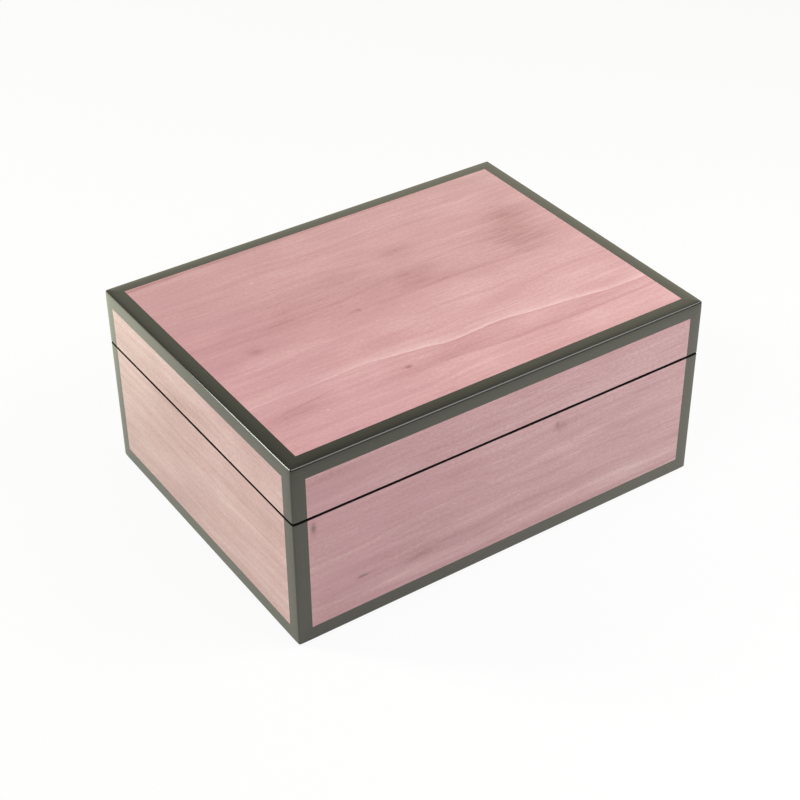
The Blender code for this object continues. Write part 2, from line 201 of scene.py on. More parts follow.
class Shader:
    """The node tree of one material or world."""

    def __init__(self, owner: bpy.types.Material | bpy.types.World) -> None:
        """Empties the owner's tree, and keeps both.

        Args:
            owner: the material or world.
        """
        self.owner = owner
        owner.use_nodes = True
        self.tree = owner.node_tree
        self.tree.nodes.clear()

    def node(
        self,
        kind: str,
        settings: dict[str, object] | None = None,
        values: dict[str | int, object] | None = None,
        output: str | int = 0,
    ) -> Wire:
        """Adds any node.

        Args:
            kind: the node's type.
            settings: its own settings, set first. "stops" fills a ramp and "points" a curve.
            values: a value or a Wire for each of its sockets, by name or number.
            output: the output to return, by name or number.

        Returns:
            That output.
        """
        made = self.tree.nodes.new(kind)
        for name, value in (settings or {}).items():
            if name == "stops":
                self._fill_ramp(made.color_ramp, value)
            elif name == "points":
                self._fill_curve(made.mapping, value)
            else:
                setattr(made, name, value)
        for name, value in (values or {}).items():
            socket = made.inputs[name]
            if isinstance(value, Wire):
                self.tree.links.new(value.socket, socket)
            elif isinstance(value, tuple) and len(value) == 3 and socket.type == "RGBA":
                socket.default_value = (*value, 1.0)
            else:
                socket.default_value = value
        sockets = made.outputs if len(made.outputs) else made.inputs
        return Wire(self, sockets[output])

    @staticmethod
    def _fill_ramp(ramp: bpy.types.ColorRamp, stops: list[tuple[float, Rgb]]) -> None:
        """Sets a ramp's stops.

        Args:
            ramp: the ramp.
            stops: each stop's place and colour.
        """
        while len(ramp.elements) < len(stops):
            ramp.elements.new(1.0)
        for element, (place, colour) in zip(ramp.elements, stops):
            element.position = place
            element.color = (*colour, 1.0)

    @staticmethod
    def _fill_curve(mapping: bpy.types.CurveMapping, points: list[tuple[float, float]]) -> None:
        """Sets the points of a curve from 0 to 1.

        Args:
            mapping: the node's curve mapping.
            points: each point's two coordinates.
        """
        curve = mapping.curves[0]
        while len(curve.points) < len(points):
            curve.points.new(0.5, 0.5)
        for point, place in zip(curve.points, points):
            point.location = place
        mapping.update()

    def place(self) -> tuple[Wire, Wire, Wire]:
        """The point's place on the object, in millimetres.

        Returns:
            Its X, Y and Z.
        """
        found = self.node("ShaderNodeTexCoord", output="Object")
        scaled = self.node("ShaderNodeVectorMath", {"operation": "SCALE"}, {0: found, "Scale": 1 / MM})
        split = self.node("ShaderNodeSeparateXYZ", values={0: scaled})
        x, y, z = (Wire(self, output) for output in split.socket.node.outputs)
        return x, y, z

    def vector(self, x: Wire | float, y: Wire | float, z: Wire | float) -> Wire:
        """A vector from its three numbers."""
        return self.node("ShaderNodeCombineXYZ", values={0: x, 1: y, 2: z})

    def noise(self, at: Wire, detail: float = 2.0, roughness: float = 0.5, distortion: float = 0.0) -> Wire:
        """Smooth noise from 0 to 1, about one blob for each unit of its vector."""
        values = {"Vector": at, "Scale": 1.0, "Detail": detail, "Roughness": roughness}
        return self.node("ShaderNodeTexNoise", values={**values, "Distortion": distortion})

    def speckle(self, per_mm: tuple[float, ...], **octaves: float) -> Wire:
        """Noise at the point's place, with so many blobs for each millimetre along X, Y and Z."""
        at = self.vector(*(wire * scale for wire, scale in zip(self.place(), per_mm)))
        return self.noise(at, **octaves)

    def mix(self, factor: Wire | float, first: Wire | Rgb, second: Wire | Rgb) -> Wire:
        """A colour between two: the first at factor 0, and the second at 1."""
        return self.node("ShaderNodeMix", {"data_type": "RGBA"}, {0: factor, 6: first, 7: second}, 2)

    def ramp(self, factor: Wire, stops: list[tuple[float, Rgb]]) -> Wire:
        """A colour from a ramp."""
        return self.node("ShaderNodeValToRGB", {"stops": stops}, {0: factor})

    def bump(self, height: Wire, depth: float) -> Wire:
        """A normal from a height of about 0 to 1, with the depth in metres that 1 stands for."""
        return self.node("ShaderNodeBump", values={"Height": height, "Strength": 1.0, "Distance": depth})

    def finish(self, values: dict[str | int, object]) -> bpy.types.Material:
        """Ends the material in a Principled shader.

        Args:
            values: the shader's own inputs.

        Returns:
            The material.
        """
        shader = self.node("ShaderNodeBsdfPrincipled", values=values)
        self.node("ShaderNodeOutputMaterial", values={"Surface": shader})
        return self.owner


@dataclass(frozen=True)
class Ruler:
    """Measures a distance on a face, in millimetres: start plus way times one of X, Y and Z.

    Attributes:
        axis: 0, 1 or 2.
        way: 1 or -1.
        start: the reading where that coordinate is 0.
    """

    axis: int
    way: int
    start: float

    def read(self, place: tuple[Wire, Wire, Wire]) -> Wire:
        """The distance at a place."""
        return place[self.axis] * self.way + self.start


# Finishes


@dataclass(frozen=True)
class Lacquer:
    """Clear high-gloss lacquer over wood.

    Attributes:
        gloss: the coat's weight.
        roughness: the coat's roughness.
        index: the coat's index of refraction.
        under_roughness: the roughness of the wood beneath.
        under_level: how much the wood beneath shines by itself.
        ripple: the depth of the faint waves that polishing leaves, in metres.
        ripple_length: the length of those waves, in millimetres.
    """

    gloss: float = 1.0
    roughness: float = 0.1
    index: float = 1.6
    under_roughness: float = 0.5
    under_level: float = 0.0
    ripple: float = 0.000002
    ripple_length: float = 9.0

    def inputs(self, shader: Shader, colour: Wire, bare_and_shaded: Wire | None = None) -> dict[str, object]:
        """The Principled inputs of this lacquer over a colour.

        Args:
            shader: the material's shader.
            colour: the wood's colour.
            bare_and_shaded: where it has no lacquer coat, from 0 to 1. The same mask paints the dark sealer and
                the painted shade at the seam.

        Returns:
            A value or Wire for each input.
        """
        waves = shader.speckle((1 / self.ripple_length,) * 3, detail=1.0)
        return {
            "Base Color": colour,
            "Roughness": self.under_roughness,
            "Specular IOR Level": self.under_level,
            "Coat Weight": (1 - bare_and_shaded) * self.gloss if bare_and_shaded else self.gloss,
            "Coat Roughness": self.roughness,
            "Coat IOR": self.index,
            "Normal": shader.bump(waves, self.ripple),
        }


@dataclass(frozen=True)
class EdgingFinish:
    """Dark grey-green dyed hardwood under lacquer.

    Attributes:
        dark: the colour of its darker grain.
        light: the colour of its lighter grain.
        grain_length: the length of a grain streak, in millimetres.
        grain_width: the width of a grain streak, in millimetres.
        seal: the colour of the sealed, sawn rims, which also paints the shade of the saw cut onto the eased rim
            beside it.
        seal_reach: how far that dark sealer and painted shade reach onto the eased rim, in millimetres.
        lacquer: the lacquer over it.
    """

    dark: Rgb = (0.0304, 0.0298, 0.0230)
    light: Rgb = (0.0365, 0.0359, 0.0275)
    grain_length: float = 22.0
    grain_width: float = 0.5
    seal: Rgb = (0.0105, 0.010, 0.009)
    seal_reach: float = 0.42
    lacquer: Lacquer = Lacquer()

    def build(self, name: str, grain_axis: int, seam: Ruler | None = None) -> bpy.types.Material:
        """Makes the material for strips that run along one axis.

        Args:
            name: the material's name.
            grain_axis: 0, 1 or 2 for grain along X, Y or Z.
            seam: how far above the seam's middle a point is, or None on strips without a seam.

        Returns:
            The material.
        """
        shader = Shader(bpy.data.materials.new(name))
        scales = [1 / self.grain_width] * 3
        scales[grain_axis] = 1 / self.grain_length
        grain = shader.speckle(tuple(scales), detail=3.0, roughness=0.6)
        colour = shader.mix(grain.step(0.3, 0.7), self.dark, self.light)
        bare_and_shaded = None
        # Near the seam the colour is painted dark: a sealer on the sawn rim, and painted shade of the saw cut
        # on the eased edge. The lacquer coat is left off there.
        if seam:
            edge = SEAM_HALF + self.seal_reach
            bare_and_shaded = 1 - seam.read(shader.place()).abs().step(edge - SEAM_SHADE_FADE, edge + SEAM_SHADE_FADE)
            colour = shader.mix(bare_and_shaded, colour, self.seal)
        return shader.finish(self.lacquer.inputs(shader, colour, bare_and_shaded))


@dataclass(frozen=True)
class Mark:
    """A soft oval spot in a veneer sheet, darker or lighter than the wood round it.

    Attributes:
        along: its middle, from the sheet's left edge of the box, in millimetres.
        across: its middle, down from the top edge of the face, in millimetres.
        length: half its length along the grain, in millimetres.
        width: half its width, in millimetres.
        depth: how much darker it is. Below zero it is lighter.
    """

    along: float
    across: float
    length: float
    width: float
    depth: float


@dataclass(frozen=True)
class FigureLine:
    """A line of the wood's figure, with its own tone just above it and just below it.

    Attributes:
        route: points that it runs through: along, across, both in millimetres, and its strength.
        above: how much lighter the wood just above it is. Below zero it is darker.
        rise: how far that reaches up, in millimetres.
        below: how much lighter the wood just below it is. Below zero it is darker.
        fall: how far that reaches down, in millimetres.
        edge: half the width of the change between the two, in millimetres.
        fray: how far its route frays, in millimetres.
        fray_length: the length over which it does, in millimetres.
    """

    route: tuple[tuple[float, float, float], ...]
    above: float = 0.0
    rise: float = 2.0
    below: float = 0.0
    fall: float = 2.0
    edge: float = 0.3
    fray: float = 0.8
    fray_length: float = 4.0


@dataclass(frozen=True)
class VeneerFinish:
    """A sheet of pink dyed figured veneer under lacquer, with its grain running level.

    Attributes:
        seed: where in the noise this sheet is cut from.
        marks: its spots and clouds.
        lines: its figure lines.
        deep: the colour of its darkest wood.
        middle: the colour of most of it.
        pale: the colour of its palest wood.
        knot: the colour of its small knots, where a mark is deepest.
        knot_span: how much darker a mark is where its knot starts, and where the colour is all knot.
        patch: the length and width of the patches that make its marks ragged, in millimetres.
        patch_share: how much of a mark comes and goes with them, and how much is there everywhere.
        sway: how far the wavy bands stray, in millimetres.
        sway_size: the length and width over which they do, in millimetres.
        mauve: the colour that it leans to at its cooler end.
        mauve_cloud: the length and width of the clouds in which it does, in millimetres.
        mauve_span: the noise at a cloud's edge, and where it is full.
        mauve_reach: how far along the sheet it still leans to mauve, in millimetres.
        mauve_share: how far it leans at the most.
        clouding: the strength of broad clouds besides its own marks.
        banding: the strength of the wavy bands.
        grain: the strength of the fine grain.
        seal: the colour of the sealed, sawn rims, which also paints the shade of the saw cut onto the eased rim
            beside it.
        seal_reach: how far that dark sealer and painted shade reach onto the eased rim, in millimetres.
        seal_stray: how far its edge strays, in millimetres.
        seal_length: the length over which it does, in millimetres.
        lacquer: the lacquer over it.
    """

    seed: float
    marks: tuple[Mark, ...] = ()
    lines: tuple[FigureLine, ...] = ()
    deep: Rgb = (0.401, 0.176, 0.188)
    middle: Rgb = (0.574, 0.303, 0.322)
    pale: Rgb = (0.747, 0.485, 0.487)
    knot: Rgb = (0.25, 0.16, 0.16)
    knot_span: Span = (0.45, 1.0)
    patch: Span = (11.0, 2.4)
    patch_share: Span = (1.6, 0.2)
    sway: float = 9.0
    sway_size: Span = (60.0, 30.0)
    mauve: Rgb = (0.55, 0.285, 0.325)
    mauve_cloud: Span = (45.0, 18.0)
    mauve_span: Span = (0.25, 0.7)
    mauve_reach: float = 120.0
    mauve_share: float = 0.5
    clouding: float = 0.5
    banding: float = 0.5
    grain: float = 0.45
    seal: Rgb = (0.012, 0.009, 0.009)
    seal_reach: float = 0.42
    seal_stray: float = 0.4
    seal_length: float = 50.0
    lacquer: Lacquer = Lacquer()

    def build(self, name: str, along: Ruler, across: Ruler, seam: Ruler | None) -> bpy.types.Material:
        """Makes the material of one face's sheet, shared by its lid and base halves.

        Args:
            name: the material's name.
            along: how far along the grain a point is.
            across: how far down the face a point is.
            seam: how far above the seam's middle a point is, or None on a sheet without a seam.

        Returns:
            The material.
        """
        shader = Shader(bpy.data.materials.new(name))
        place = shader.place()
        u, v = along.read(place), across.read(place)
        tone = self._wood(shader, u, v)
        spots: Wire | float = 0.0
        for mark in self.marks:
            spots = self._spot(u, v, mark) + spots
        ragged = self._blobs(shader, u, v, self.patch, 7, detail=3.0)
        shade = spots * (ragged * self.patch_share[0] + self.patch_share[1])
        tone = tone - shade
        for line in self.lines:
            tone = tone + self._figure(shader, u, v, line)
        wood = shader.ramp(tone, [(0.0, self.deep), (0.5, self.middle), (1.0, self.pale)])
        clouds = self._blobs(shader, u, v, self.mauve_cloud, 5)
        lean = (1 - u.step(0.0, self.mauve_reach)) * clouds.step(*self.mauve_span) * self.mauve_share
        colour = shader.mix(shade.step(*self.knot_span), shader.mix(lean, wood, self.mauve), self.knot)
        # Near the seam the colour is painted dark: a sealer on the sawn rim, and painted shade of the saw cut
        # on the eased edge. The lacquer coat is left off there.
        bare_and_shaded = self._sealed(shader, seam.read(place).abs(), u) if seam else None
        if bare_and_shaded:
            colour = shader.mix(bare_and_shaded, colour, self.seal)
        return shader.finish(self.lacquer.inputs(shader, colour, bare_and_shaded))

    def _wood(self, shader: Shader, u: Wire, v: Wire) -> Wire:
        """The plain wood's tone, 0.5 on average: clouds, wavy bands and fine grain.

        Args:
            shader: the material's shader.
            u: how far along the grain.
            v: how far across it.

        Returns:
            The tone.
        """
        wavy = v + (self._blobs(shader, u, v, self.sway_size, 0, detail=1.0) - 0.5) * self.sway
        # Each layer: its blobs' length and width in millimetres, the way across, and its strength.
        layers = (
            ((38.0, 15.0), v, self.clouding),
            ((170.0, 4.6), wavy, self.banding),
            ((60.0, 1.9), wavy, self.grain * 0.9),
            ((10.0, 0.65), v, self.grain * 0.8),
            ((1.7, 0.9), v, self.grain * 1.2),
        )
        tone: Wire | float = 0.5
        for number, (size, across, strength) in enumerate(layers):
            tone = (self._blobs(shader, u, across, size, number) - 0.5) * strength + tone
        return tone

    def _blobs(self, shader: Shader, u: Wire, v: Wire, size: Span, shift: int, detail: float = 2.0) -> Wire:
        """Noise whose blobs have one length and width in millimetres, cut from its own place by a shift."""
        return shader.noise(shader.vector(u * (1 / size[0]), v * (1 / size[1]), self.seed + shift), detail)

    @staticmethod
    def _spot(u: Wire, v: Wire, mark: Mark) -> Wire:
        """One mark: its depth times a bell curve of the distance from its middle."""
        return (u - mark.along).bell(mark.length) * (v - mark.across).bell(mark.width) * mark.depth

    @staticmethod
    def _figure(shader: Shader, u: Wire, v: Wire, line: FigureLine) -> Wire:
        """One figure line, from each point's height above its route.

        Above the route it adds above * exp(-height / rise), and below it below * exp(height / fall),
        both times the line's strength there.

        Args:
            shader: the material's shader.
            u: how far along the grain.
            v: how far across it.
            line: the figure line.

        Returns:
            What it adds to the tone.
        """
        start, end = line.route[0][0], line.route[-1][0]
        low = min(v for _, v, _ in line.route)
        span = max(v for _, v, _ in line.route) - low or 1.0
        share = (u - start) * (1 / (end - start))
        level = [((u0 - start) / (end - start), (v0 - low) / span) for u0, v0, _ in line.route]
        power = [((u0 - start) / (end - start), s) for u0, _, s in line.route]
        route = shader.node("ShaderNodeFloatCurve", {"points": level}, {"Value": share}) * span + low
        strength = shader.node("ShaderNodeFloatCurve", {"points": power}, {"Value": share})
        ragged = shader.noise(shader.vector(u * (1 / line.fray_length), 0.0, start))
        height = route - v + (ragged - 0.5) * line.fray
        upper = height.step(-line.edge, line.edge)
        tone: Wire | float = 0.0
        if line.above:
            tone = upper * (-(height.at_least(0.0) * (1 / line.rise))).exp() * line.above
        if line.below:
            tone = (1 - upper) * (-((-height).at_least(0.0) * (1 / line.fall))).exp() * line.below + tone
        return tone * strength.at_least(0.0)

    def _sealed(self, shader: Shader, off: Wire, u: Wire) -> Wire:
        """How far the dark sealer of the sawn rims, with the painted shade of the saw cut, covers a point, by
        its distance from the seam.

        Args:
            shader: the material's shader.
            off: the distance from the seam's middle.
            u: how far along the grain.

        Returns:
            The cover, 0 to 1.
        """
        stray = shader.noise(shader.vector(u * (1 / self.seal_length), 0.0, self.seed), detail=3.0)
        edge = (stray - 0.5) * self.seal_stray + (SEAM_HALF + self.seal_reach)
        return 1 - (off - edge).step(-SEAM_SHADE_FADE, SEAM_SHADE_FADE)


@dataclass(frozen=True)
class CoreFinish:
    """Fibreboard whose sawn rims are sealed with thin dark lacquer.

    Attributes:
        dark: the colour of its darker fibres.
        light: the colour of its lighter fibres.
        fibres: how many fibres there are to a millimetre of X, Y and Z.
        roughness: the sealed surface's roughness where it is smoothest.
        wear: how much rougher it is where it is worn.
        relief: the depth of its fibres, in metres.
    """

    dark: Rgb = (0.0075, 0.007, 0.0065)
    light: Rgb = (0.0145, 0.0135, 0.012)
    fibres: tuple[float, float, float] = (1.1, 1.1, 4.0)
    roughness: float = 0.29
    wear: float = 0.14
    relief: float = 0.00001

    def build(self, name: str) -> bpy.types.Material:
        """Makes the material.

        Args:
            name: its name.

        Returns:
            The material.
        """
        shader = Shader(bpy.data.materials.new(name))
        fibres = shader.speckle(self.fibres, detail=4.0, roughness=0.65)
        worn = shader.speckle((0.08,) * 3)
        return shader.finish(
            {
                "Base Color": shader.mix(fibres.step(0.35, 0.7), self.dark, self.light),
                "Roughness": worn * self.wear + self.roughness,
                "Specular IOR Level": 0.3,
                "Normal": shader.bump(fibres, self.relief),
            }
        )


@dataclass(frozen=True)
class PileFinish:
    """Velvet or felt.

    Attributes:
        dark: the colour in its depth.
        light: the colour on its tips.
        sheen: how much its tips catch the light at a glancing angle.
        tuft: the size of its tufts, in millimetres.
        depth: the depth of its tufts, in metres.
        nap: the size of the patches where the pile leans another way, in millimetres.
        spread: the sheen's roughness.
    """

    dark: Rgb
    light: Rgb
    sheen: float
    tuft: float
    depth: float
    nap: float
    spread: float = 0.35

    def build(self, name: str) -> bpy.types.Material:
        """Makes the material.

        Args:
            name: its name.

        Returns:
            The material.
        """
        shader = Shader(bpy.data.materials.new(name))
        tufts = shader.speckle((1 / self.tuft,) * 3, detail=3.0, roughness=0.7)
        leaning = shader.speckle((1 / self.nap,) * 3, detail=3.0, distortion=0.6)
        tone = tufts * 0.55 + leaning * 0.75 - 0.15
        return shader.finish(
            {
                "Base Color": shader.mix(tone.step(0.2, 0.85), self.dark, self.light),
                "Roughness": 1.0,
                "Specular IOR Level": 0.1,
                "Sheen Weight": self.sheen,
                "Sheen Roughness": self.spread,
                "Sheen Tint": (*self.light, 1.0),
                "Normal": shader.bump(tufts, self.depth),
            }
        )


@dataclass(frozen=True)
class BrassFinish:
    """Polished brass, faintly brushed, with a little tarnish.

    Attributes:
        bright: the colour of the polished metal.
        tarnished: the colour of its duller patches.
        roughness: the roughness where it is bright.
        dullness: how much rougher it is where it is tarnished.
        brushing: how much rougher its brush marks are.
        relief: the depth of its brush marks, in metres.
    """

    bright: Rgb = (0.86, 0.62, 0.28)
    tarnished: Rgb = (0.58, 0.38, 0.16)
    roughness: float = 0.11
    dullness: float = 0.22
    brushing: float = 0.1
    relief: float = 0.000004

    def build(self, name: str) -> bpy.types.Material:
        """Makes the material.

        Args:
            name: its name.

        Returns:
            The material.
        """
        shader = Shader(bpy.data.materials.new(name))
        brushed = shader.speckle((0.25, 9.0, 9.0))
        patches = shader.speckle((0.35, 0.5, 0.5), detail=4.0, roughness=0.6)
        dull = patches.step(0.52, 0.78)
        return shader.finish(
            {
                "Base Color": shader.mix(dull * 0.7, self.bright, self.tarnished),
                "Metallic": 1.0,
                "Roughness": dull * self.dullness + brushed * self.brushing + self.roughness,
                "Normal": shader.bump(brushed, self.relief),
            }
        )


# Meshes


def put(name: str, data: bpy.types.ID) -> bpy.types.Object:
    """Puts a new object into the scene.

    Args:
        name: its name.
        data: its mesh, lamp or camera.

    Returns:
        The object.
    """
    made = bpy.data.objects.new(name, data)
    bpy.context.scene.collection.objects.link(made)
    return made


def make_piece(name: str, vertices: np.ndarray, faces: list[list[int]]) -> bpy.types.Object:
    """Makes a closed piece with smooth rounds and crisp corners.

    Points that coincide are merged, which closes poles and mitres, and faces are turned outwards.

    Args:
        name: the piece's name.
        vertices: its points, one row each, in metres.
        faces: the numbers of each face's points.

    Returns:
        The piece.
    """
    mesh = bpy.data.meshes.new(name)
    mesh.from_pydata(vertices.reshape(-1, 3).tolist(), [], faces)
    edited = bmesh.new()
    edited.from_mesh(mesh)
    bmesh.ops.remove_doubles(edited, verts=edited.verts, dist=MERGE_DISTANCE)
    loose = [v for v in edited.verts if not v.link_faces]
    bmesh.ops.delete(edited, geom=loose, context="VERTS")
    bmesh.ops.recalc_face_normals(edited, faces=edited.faces)
    edited.to_mesh(mesh)
    edited.free()
    mesh.shade_smooth()
    mesh.set_sharp_from_angle(angle=SHARP_ANGLE)
    return put(name, mesh)


def swept(name: str, rings: np.ndarray) -> bpy.types.Object:
    """A solid that joins closed sections in a row: each point to the same one of the next section.

    Args:
        name: the piece's name.
        rings: the sections' points, an array of (section, point, 3).

    Returns:
        The piece.
    """
    count, size = rings.shape[:2]
    i, j = np.meshgrid(np.arange(count - 1), np.arange(size), indexing="ij")
    after = (j + 1) % size
    quads = np.stack([i * size + j, i * size + after, (i + 1) * size + after, (i + 1) * size + j], -1)
    ends = [list(range(size)), list(range((count - 1) * size, count * size))]
    return make_piece(name, rings, quads.reshape(-1, 4).tolist() + ends)


def slab(name: str, outer: np.ndarray, inner: np.ndarray, kept: np.ndarray) -> bpy.types.Object:
    """A solid between two grids of points, with some of the grid's cells left out.

    Each kept cell gives one face on each grid, and a wall stands wherever a kept cell has no kept
    neighbour.

    Args:
        name: the piece's name.
        outer: the outer grid's points, (columns, rows, 3).
        inner: the inner grid's points, of the same shape.
        kept: which cells there are, (columns - 1, rows - 1).

    Returns:
        The piece.
    """
    columns, rows = outer.shape[:2]
    number = np.arange(columns * rows).reshape(columns, rows)
    beyond = columns * rows
    cells = np.stack([number[:-1, :-1], number[1:, :-1], number[1:, 1:], number[:-1, 1:]], -1)[kept]
    faces = cells.tolist() + (cells + beyond).tolist()
    padded = np.pad(kept.astype(int), 1)
    across = np.argwhere(np.diff(padded[:, 1:-1], axis=0))
    upright = np.argwhere(np.diff(padded[1:-1, :], axis=1))
    for start, end in (
        (number[across[:, 0], across[:, 1]], number[across[:, 0], across[:, 1] + 1]),
        (number[upright[:, 0], upright[:, 1]], number[upright[:, 0] + 1, upright[:, 1]]),
    ):
        faces += np.stack([start, end, end + beyond, start + beyond], -1).tolist()
    return make_piece(name, np.concatenate([outer.reshape(-1, 3), inner.reshape(-1, 3)]), faces)


def quarter(steps: int) -> np.ndarray:
    """Angles from 0 to a right angle, both included."""
    return np.linspace(0, math.pi / 2, steps + 1)


def body_of(node: str) -> str:
    """The CAD body that a node belongs to."""
    bodies = frame["record"]["behaviour"]["bodies"]
    return next(body for body, nodes in bodies.items() if node in nodes)


def dress(piece: bpy.types.Object, node: str, material: bpy.types.Material) -> bpy.types.Object:
    """Gives a new piece its material, its body and the CAD node that it stands for.

    Args:
        piece: the new piece.
        node: the CAD node.
        material: the piece's material.

    Returns:
        The piece.
    """
    piece.data.materials.clear()
    piece.data.materials.append(material)
    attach(piece, body_of(node))
    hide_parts(node)
    LOG.info("%s stands for %s", piece.name, node)
    return piece


def repaint(node: str, material: bpy.types.Material) -> None:
    """Gives a CAD node that keeps its shape a better material."""
    frame["nodes"][node].material_slots[0].material = material
    LOG.info("%s keeps its shape", node)


# The case


@dataclass(frozen=True)
class Wall:
    """One side's own axes: along it to the right seen from outside, inwards from its face, and up.

    Attributes:
        side: which side.
        half_span: half its outer length.
        reach: how far its outer face is from the box's middle.
    """

    side: Side
    half_span: float
    reach: float

    def point(self, along: np.ndarray, inward: np.ndarray, up: np.ndarray) -> np.ndarray:
        """Points of the box from this side's own axes.

        X is along * cos(turn) + (reach - inward) * sin(turn), and Y is along * sin(turn) less
        (reach - inward) * cos(turn).

        Args:
            along: how far to the right of the side's middle.
            inward: how far in from its outer face.
            up: the height.

        Returns:
            The points, with one more axis than the inputs.
        """
        cos, sin = self._turned
        along, outward, up = np.broadcast_arrays(along, self.reach - inward, up)
        return np.stack([along * cos + outward * sin, along * sin - outward * cos, up], -1)

    def outward(self, place: Vector) -> float:
        """How far outwards a place is, from the box's middle."""
        cos, sin = self._turned
        return place.x * sin - place.y * cos

    @property
    def _turned(self) -> tuple[int, int]:
        """The cosine and sine of the side's turn."""
        return round(math.cos(self.side.turn)), round(math.sin(self.side.turn))


@dataclass(frozen=True)
class HalfLevels:
    """The heights of one half: its rim, its closed face, and which way the closed face is.

    Attributes:
        rim: the height of the rim.
        face: the height of the top of the lid, or of the foot of the base.
    """

    rim: float
    face: float

    @property
    def way(self) -> int:
        """1 where the closed face is above the rim, and -1 below it."""
        return 1 if self.face > self.rim else -1

    @property
    def height(self) -> float:
        """From the rim to the closed face."""
        return abs(self.face - self.rim)


@dataclass
class Case:
    """The outside of both halves: edging strips, corner posts and veneer sheets, all flush.

    Attributes:
        edging_width: the strips' width.
        edge_radius: the rounding of the upright and top edges.
        rim_ease: the smaller rounding along both rims.
        foot_ease: the small rounding along the bottom edge.
        roll: how far polishing has worn the faces down beside the upright and top edges.
        roll_reach: the distance over which that wear fades to about a third.
        wear_lines: the grid lines over each worn strip.
        mortise_clearance: the room round a hinge leaf.
        round_steps: the facets in a quarter turn of an outer edge.
        ease_steps: the facets in a quarter turn of a rim.
        edging: the strips' finish.
        sheets: each face's veneer.
    """

    edging_width: float = 6.5 * MM
    edge_radius: float = 1.0 * MM
    rim_ease: float = 0.45 * MM
    foot_ease: float = 0.3 * MM
    roll: float = 0.25 * MM
    roll_reach: float = 1.6 * MM
    wear_lines: int = 9
    mortise_clearance: float = 0.15 * MM
    round_steps: int = 12
    ease_steps: int = 6
    edging: EdgingFinish = EdgingFinish()
    sheets: dict[str, VeneerFinish] = field(default_factory=dict)

    def __post_init__(self) -> None:
        """Reads the case's sizes from the frame."""
        self.half_width = -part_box("lid_edging_left")[0].x
        self.half_depth = -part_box("lid_edging_front")[0].y
        self.levels = {
            Half.BASE: HalfLevels(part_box("base_veneer_front")[1].z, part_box("base_edging_front")[0].z),
            Half.LID: HalfLevels(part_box("lid_veneer_front")[0].z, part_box("lid_edging_front")[1].z),
        }

    def wall(self, side: Side) -> Wall:
        """One side's axes."""
        halves = (self.half_width, self.half_depth)
        return Wall(side, halves[side.axis], halves[1 - side.axis])

    def build(self) -> None:
        """Builds and dresses every strip, post and sheet."""
        seam = Ruler(2, 1, -(self.levels[Half.BASE].rim + self.levels[Half.LID].rim) / 2 / MM)
        grain = [self.edging.build(f"edging_along_{'xy'[axis]}", axis) for axis in range(2)]
        upright = self.edging.build("edging_upright", 2, seam)
        for half, levels in self.levels.items():
            for side in Side:
                wall = self.wall(side)
                node = f"{half.value}_edging_{side.value}"
                profile = self._profile(half)
                strip = swept(f"{node}_lacquered", self._strip(wall, levels, profile))
                dress(strip, node, grain[side.axis])
                node = f"{half.value}_corner_post_{side.left_corner}"
                post = swept(f"{node}_lacquered", self._post(wall, levels))
                dress(post, node, upright)
        self._build_veneers(seam)

    def _wear(self, distance: np.ndarray) -> np.ndarray:
        """How far polishing has worn a face: roll * (e^(-distance / reach) - e^(-width / reach))."""
        far = math.exp(-self.edging_width / self.roll_reach)
        return self.roll * (np.exp(-distance / self.roll_reach) - far)

    def _profile(self, half: Half) -> np.ndarray:
        """The outline of an edging strip's section, from its back up its side, over the edge and in.

        The edge is a quarter circle. On the lid, each point is then moved straight into the wood
        by the wear at its distance from the edge.

        Args:
            half: the half whose strip it is.

        Returns:
            Each point's inset from the side, its depth from the top or bottom, and how far it
            faces the side, (point, 3).
        """
        on_lid = half is Half.LID
        ease, width = (self.edge_radius if on_lid else self.foot_ease), self.edging_width
        near = max(ease, self.edge_radius) + SUPPORT
        flat = np.unique(np.concatenate([[ease + SUPPORT], np.linspace(near, width, self.wear_lines)]))
        turn = quarter(self.round_steps)
        side, arc, top = np.zeros_like(flat), np.full_like(turn, ease), flat
        inset = np.concatenate([side, ease * (1 - np.cos(turn)), top])
        depth = np.concatenate([flat[::-1], ease * (1 - np.sin(turn)), side])
        gone = np.concatenate([flat[::-1], arc, top])
        wear = self._wear(gone) * on_lid
        facing = np.concatenate([side + 1, np.cos(turn), side])
        inset += wear * facing
        depth += wear * np.concatenate([side, np.sin(turn), side + 1])
        return np.stack([np.append(inset, width), np.append(depth, width), np.append(facing, 0)], axis=-1)

    def _strip(self, wall: Wall, levels: HalfLevels, profile: np.ndarray) -> np.ndarray:
        """The sections of an edging strip, from one mitre to the other.

        A section point at inset d and depth h lies at inset d while it is on the straight, and on
        a circle of radius R - d about the corner's centre round the box's upright edge. Past R the
        circle is a point, and the sections meet in the plain mitre. What faces the side is worn
        down near the upright edges too.

        Args:
            wall: the side's axes.
            levels: the half's heights.
            profile: the section's insets, depths and facing.

        Returns:
            The sections, (section, point, 3).
        """
        radius = self.edge_radius
        inset, depth, facing = profile.T
        half_turn = np.linspace(math.pi / 4, 0, self.round_steps // 2 + 1)
        straight = np.linspace(SUPPORT, self.edging_width - radius, self.wear_lines)
        lean = np.concatenate([half_turn, np.zeros_like(straight)])
        back_off = np.concatenate([np.zeros_like(half_turn), straight])
        centre = np.maximum(radius, inset)
        room = np.maximum(radius - inset, 0) - self._wear(radius + back_off)[:, None] * facing
        along = wall.half_span - centre - back_off[:, None] + room * np.sin(lean)[:, None]
        inward = centre - room * np.cos(lean)[:, None]
        along = np.concatenate([-along, along[::-1]])
        inward = np.concatenate([inward, inward[::-1]])
        return wall.point(along, inward, levels.face - levels.way * depth)

